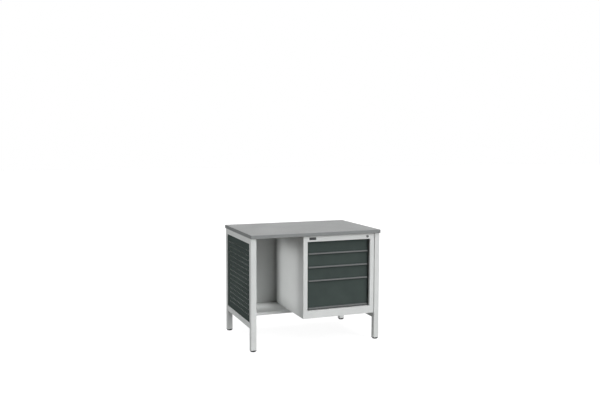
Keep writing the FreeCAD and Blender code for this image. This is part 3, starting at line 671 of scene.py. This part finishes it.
def make_rivets(drawer):
    """The rivets that hold a drawer's inner channels to its tray: three round heads a side."""
    low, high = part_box(f"{drawer}_inner_rails")
    depth = RIVET_HEIGHT + RIVET_SEAT
    rivet = start_round("rivet", (-RIVET_SEAT, 0, 0), "x", RIVET_RADIUS, depth, RIVET_SIDES)
    pick(rivet, lambda *ends: all(near(end.x, RIVET_HEIGHT) for end in ends), "EDGE")
    bpy.ops.mesh.bevel(offset=RIVET_ROUND, segments=4, affect="EDGES")
    bpy.ops.object.mode_set(mode="OBJECT")
    places = []
    for y in (low.y + RIVET_FROM_END, (low.y + high.y) / 2, high.y - RIVET_FROM_END):
        for x, turn in ((low.x + CHANNEL_WEB, math.pi), (high.x - CHANNEL_WEB, 0)):
            places.append(Matrix.Translation((x, y, (low.z + high.z) / 2)) @ Matrix.Rotation(turn, 4, "Z"))
    finish_piece(copies(rivet, places, f"{drawer}_rivets"), drawer, "zinc_plate")


def make_slides(drawer):
    """A drawer's pair of slides: rolled channels with deburred edges, riveted to the tray."""
    for stage, body in (("outer", "bench"), ("middle", f"{drawer}_middle"), ("inner", drawer)):
        node = f"{drawer}_{stage}_rails"
        piece = softened(node, f"{drawer}_{stage}_channels", CHANNEL_EDGE)
        if stage != "inner":
            sink_webs(piece, node)
        finish_piece(piece, body, "zinc_plate", node)
    make_rivets(drawer)


def make_latch_metal():
    """The locking bar, its guides and the slides' uprights, deburred."""
    for node, name, body, slot in (
        ("locking_bar", "latch_bar", "locking_bar", "zinc_plate"),
        ("locking_bar_guides", "latch_guides", "bench", "black_plastic"),
        ("left_slide_uprights", "left_uprights", "bench", "zinc_plate"),
        ("right_slide_uprights", "right_uprights", "bench", "zinc_plate"),
    ):
        finish_piece(softened(node, name, LATCH_EDGE), body, slot, node)


# ---------------------------------------------------------------- screws

HEAD_HEIGHT = 3.3 * MM
SOCKET_RADIUS = 2.3 * MM
SOCKET_DEPTH = 2.0 * MM
# the flat ring round the socket
FLAT_RADIUS = 3.6 * MM
SHANK_RADIUS = 3.0 * MM
SCREW_SIDES = 24
# from that ring over the crown and the rim to the seat: radius, and rise from the row before
HEAD_PROFILE = (
    (4.8 * MM, 0.25 * MM),
    (5.6 * MM, 0.75 * MM),
    (6.0 * MM, 0.90 * MM),
    (6.0 * MM, 1.40 * MM),
    (SHANK_RADIUS, 0.0),
)

# lengths of the shanks
RAIL_SCREW = 55.0 * MM
TOP_SCREW = 16.2 * MM
SHEET_SCREW = 14.0 * MM

# each screw: the seat of its head in mm, and the way its shank points
UP, DOWN = (0, 0, 1), (0, 0, -1)
RAIL_SCREWS = [((x, y, 760), UP) for x in (-469, 469) for y in (-168, 162)]
CABINET_SCREWS = [((x, y, 798.8), UP) for x in (-92, 441) for y in (-171, 193)]
BACK_SCREWS = [((x, 294, 798.5), UP) for x in (-338.7, 0, 338.7)]
BASE_SCREWS = [((x, y, 203.4), DOWN) for x in (13, 336) for y in (26, 193)]
SHELF_SCREWS = [((side * 457.2, y, 191), (side, 0, 0)) for side in (-1, 1) for y in (26, 218)]
PANEL_SCREWS = []
for side in (-1, 1):
    for level in (261, 480.5, 700):
        PANEL_SCREWS.append(((side * 487, -286.2, level), (0, -1, 0)))
        PANEL_SCREWS.append(((side * 487, 280.2, level), (0, 1, 0)))
        PANEL_SCREWS.append(((side * 457.2, 296, level), (side, 0, 0)))


def make_screw(name, length):
    """A low-head socket screw: its seat at the origin, its shank up, its hexagon socket facing down."""
    top = -HEAD_HEIGHT
    bpy.ops.mesh.primitive_circle_add(
        vertices=6, radius=SOCKET_RADIUS, fill_type="NGON", location=(0, 0, top))
    settle()
    screw = bpy.context.object
    screw.name = name
    bpy.ops.object.mode_set(mode="EDIT")
    bpy.ops.mesh.select_all(action="SELECT")
    extrude((0, 0, SOCKET_DEPTH))
    pick(screw, lambda centre, normal: near(centre.z, top))
    bpy.ops.mesh.delete(type="ONLY_FACE")
    bpy.ops.mesh.primitive_circle_add(
        vertices=SCREW_SIDES, radius=FLAT_RADIUS, fill_type="NOTHING", location=(0, 0, top))
    bpy.ops.object.mode_set(mode="OBJECT")
    pick(screw, lambda *ends: all(near(end.z, top) for end in ends), "EDGE")
    bpy.ops.mesh.bridge_edge_loops()
    pick(screw, lambda *ends: all(near(math.hypot(end.x, end.y), FLAT_RADIUS) for end in ends), "EDGE")
    reach = FLAT_RADIUS
    for radius, rise in (*HEAD_PROFILE, (SHANK_RADIUS, length)):
        bpy.ops.mesh.extrude_edges_move(TRANSFORM_OT_translate={"value": (0, 0, rise)})
        bpy.ops.transform.resize(value=(radius / reach, radius / reach, 1), center_override=(0, 0, 0))
        reach = radius
    bpy.ops.mesh.edge_face_add()
    bpy.ops.object.mode_set(mode="OBJECT")
    outward(screw)
    return screw


def make_screws(name, node, kinds):
    """The screws of one CAD node. Each kind has the length of its shanks, and its screws' places."""
    parts = []
    for number, (length, places) in enumerate(kinds):
        screw = make_screw(f"{name}_{number}", length)
        matrices = []
        for seat, way in places:
            turn = Vector(way).to_track_quat("Z", "Y").to_matrix().to_4x4()
            matrices.append(Matrix.Translation(Vector(seat) * MM) @ turn)
        parts.append(copies(screw, matrices, f"{name}_{number}"))
    finish_piece(joined(parts, name), "bench", "zinc_plate", node)


# ---------------------------------------------------------------- welds

BEAD_LENGTH = 35.0 * MM
BEAD_RADIUS = 2.4 * MM
BEAD_SIDES = 12
RIPPLE = 1.6 * MM
# the share of its width that a bead keeps at its ends
BEAD_TAPER = 0.6
# the share that a bead, and a seam once it is ground, keeps between its ripples
BEAD_RELIEF = 0.86
SEAM_RELIEF = 0.97

SEAM_RADIUS = 2.45 * MM
# how much shorter than the tube a seam is, how far in from the tube's side, and how far beyond its end
SEAM_SHORTFALL = 2.0 * MM
SEAM_INSET = 2.6 * MM
SEAM_SHIFT = 0.8 * MM


def make_bead(name, radius, length, relief):
    """A weld bead along X, centred at the origin, with the ripples that a welder's pauses leave."""
    bead = start_round(name, (-length / 2, 0, 0), "x", radius, length, BEAD_SIDES)
    count = int(length / RIPPLE)
    levels = [-length / 2 + length * (step + 0.5) / count for step in range(count)]
    cut_across(bead, "x", levels)

    def every_second_ring(a, b):
        """An edge that lies in each other cut."""
        return any(near(a.x, level) and near(b.x, level) for level in levels[::2])

    pick(bead, every_second_ring, "EDGE")
    bpy.ops.transform.resize(value=(1, relief, relief), center_override=(0, 0, 0))
    pick(bead, lambda centre, normal: abs(normal.x) > 0.9)
    bpy.ops.transform.resize(value=(1, BEAD_TAPER, BEAD_TAPER), center_override=(0, 0, 0))
    bpy.ops.object.mode_set(mode="OBJECT")
    return bead


def make_welds(side):
    """One side frame's welds: beads in the corners, and ground seams that fill the tubes' round edges."""
    rails = [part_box(f"{side}_top_rail"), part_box(f"{side}_lower_rail")]
    (front, top_underside), (back, top_face) = [(corner.y, corner.z) for corner in rails[0]]
    lower_underside, lower_face = [corner.z for corner in rails[1]]
    left, right = [corner.x for corner in rails[0]]
    beads, seams = [], []
    for y, shift in ((front, -SEAM_SHIFT), (back, SEAM_SHIFT)):
        for z in (top_underside, lower_face, lower_underside):
            beads.append(Matrix.Translation(((left + right) / 2, y, z)))
        for z in ((top_underside + top_face) / 2, (lower_underside + lower_face) / 2):
            for x in (left + SEAM_INSET, right - SEAM_INSET):
                place = Matrix.Translation((x, y + shift, z))
                seams.append(place @ Matrix.Rotation(math.pi / 2, 4, "Y"))
    corner = copies(make_bead("bead", BEAD_RADIUS, BEAD_LENGTH, BEAD_RELIEF), beads, "corner_beads")
    seam_length = right - left - SEAM_SHORTFALL
    ground = copies(make_bead("seam", SEAM_RADIUS, seam_length, SEAM_RELIEF), seams, "ground_seams")
    finish_piece(joined([corner, ground], f"{side}_frame_welds"), "bench", "light_paint", smooth=60)


# ---------------------------------------------------------------- lock and plate

LOCK_SIDES = 48
BEZEL_THICKNESS = 2.0 * MM
BEZEL_DOME = 1.1 * MM
# how far the bezel stands out past the barrel
BEZEL_OVERHANG = 1.5 * MM
BORE_RADIUS = 6.05 * MM
GROOVE_RADIUS = 7.4 * MM
# how far the groove's outer wall slopes in, and the groove's depth
GROOVE_RUN = 0.4 * MM
GROOVE_DEPTH = 0.7 * MM

PLATE_CORNER = 3.0 * MM
PLATE_RIM = 1.0 * MM
# how far the rim's inner wall slopes in, and how deep the face is sunk
PLATE_RUN = 0.5 * MM
PLATE_SINK = 0.35 * MM
PLATE_EDGE = 0.2 * MM


def make_lock():
    """The lock's die-cast body: a domed bezel with a groove round the plug, a barrel and the plug's bore."""
    low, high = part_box("lock_housing")
    axis_x, axis_z = (low.x + high.x) / 2, (low.z + high.z) / 2
    rim = (high.x - low.x) / 2
    barrel = rim - BEZEL_OVERHANG

    def from_axis(point):
        """How far a point is from the lock's axis."""
        return math.hypot(point.x - axis_x, point.z - axis_z)

    def is_front(centre, normal):
        """The flat face at the front end, on the axis."""
        return normal.y < -0.9 and near(from_axis(centre), 0, 0.5 * MM)

    def is_back(centre, normal):
        """The flat face at the back end, on the axis."""
        return normal.y > 0.9 and near(from_axis(centre), 0, 0.5 * MM)

    body = start_round("lock_body", (axis_x, low.y, axis_z), "y", rim, BEZEL_THICKNESS, LOCK_SIDES)
    pick(body, is_back)
    bpy.ops.mesh.inset(thickness=BEZEL_OVERHANG)
    extrude((0, high.y - low.y - BEZEL_THICKNESS, 0))
    pick(body, is_back)
    bpy.ops.mesh.inset(thickness=barrel - BORE_RADIUS)
    bpy.ops.mesh.delete(type="FACE")
    pick(body, is_front)
    bpy.ops.mesh.inset(thickness=rim - GROOVE_RADIUS)
    bpy.ops.mesh.inset(thickness=GROOVE_RUN, depth=-GROOVE_DEPTH)
    bpy.ops.mesh.inset(thickness=GROOVE_RADIUS - GROOVE_RUN - BORE_RADIUS)
    bpy.ops.mesh.delete(type="FACE")
    pick(body, lambda *ends: all(near(from_axis(end), BORE_RADIUS, 0.1 * MM) for end in ends), "EDGE")
    bpy.ops.mesh.bridge_edge_loops()
    pick(body, lambda *ends: all(near(end.y, low.y) and near(from_axis(end), rim) for end in ends), "EDGE")
    bpy.ops.mesh.bevel(offset=BEZEL_DOME, segments=4, affect="EDGES")
    bpy.ops.object.mode_set(mode="OBJECT")
    outward(body)
    finish_piece(body, "bench", "chrome", "lock_housing")


def make_plate():
    """The bare plate on the top rail: moulded, with round corners, a raised rim and a sunk face."""
    low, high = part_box("blank_plate")
    plate = start_block("bare_plate", low, high)
    # the four corners are the edges that run from front to back
    pick(plate, lambda a, b: near(a.x, b.x) and near(a.z, b.z), "EDGE")
    bpy.ops.mesh.bevel(offset=PLATE_CORNER, segments=6, affect="EDGES")
    pick(plate, lambda centre, normal: normal.y < -0.9)
    bpy.ops.mesh.inset(thickness=PLATE_RIM)
    bpy.ops.mesh.inset(thickness=PLATE_RUN, depth=-PLATE_SINK)
    bpy.ops.object.mode_set(mode="OBJECT")
    break_edges(plate, PLATE_EDGE)
    finish_piece(plate, "bench", "dark_plastic", "blank_plate", smooth=20)


# ---------------------------------------------------------------- the whole scene

FLOOR_WIDTH = 60.0


def make_floor():
    """A plain floor round the bench."""
    bpy.ops.mesh.primitive_plane_add(size=FLOOR_WIDTH)
    floor = bpy.context.object
    floor.name = "floor"
    floor.data.materials.append(pale_floor())
    bpy.ops.object.select_all(action="DESELECT")


for foot in ("front_left_foot", "front_right_foot", "rear_left_foot", "rear_right_foot"):
    make_foot(foot)
for number in (1, 2, 3, 4):
    make_grip(f"drawer_{number}")
    make_slides(f"drawer_{number}")
make_latch_metal()
sheet_screws = PANEL_SCREWS + SHELF_SCREWS + BASE_SCREWS
make_screws("frame_and_cabinet_screws", "sheet_screws", [(SHEET_SCREW, sheet_screws)])
top_screws = [(RAIL_SCREW, RAIL_SCREWS), (TOP_SCREW, CABINET_SCREWS + BACK_SCREWS)]
make_screws("top_screws", "worktop_screws", top_screws)
make_welds("left")
make_welds("right")
make_lock()
make_plate()
make_camera()
make_world()
light_the_studio()
make_floor()
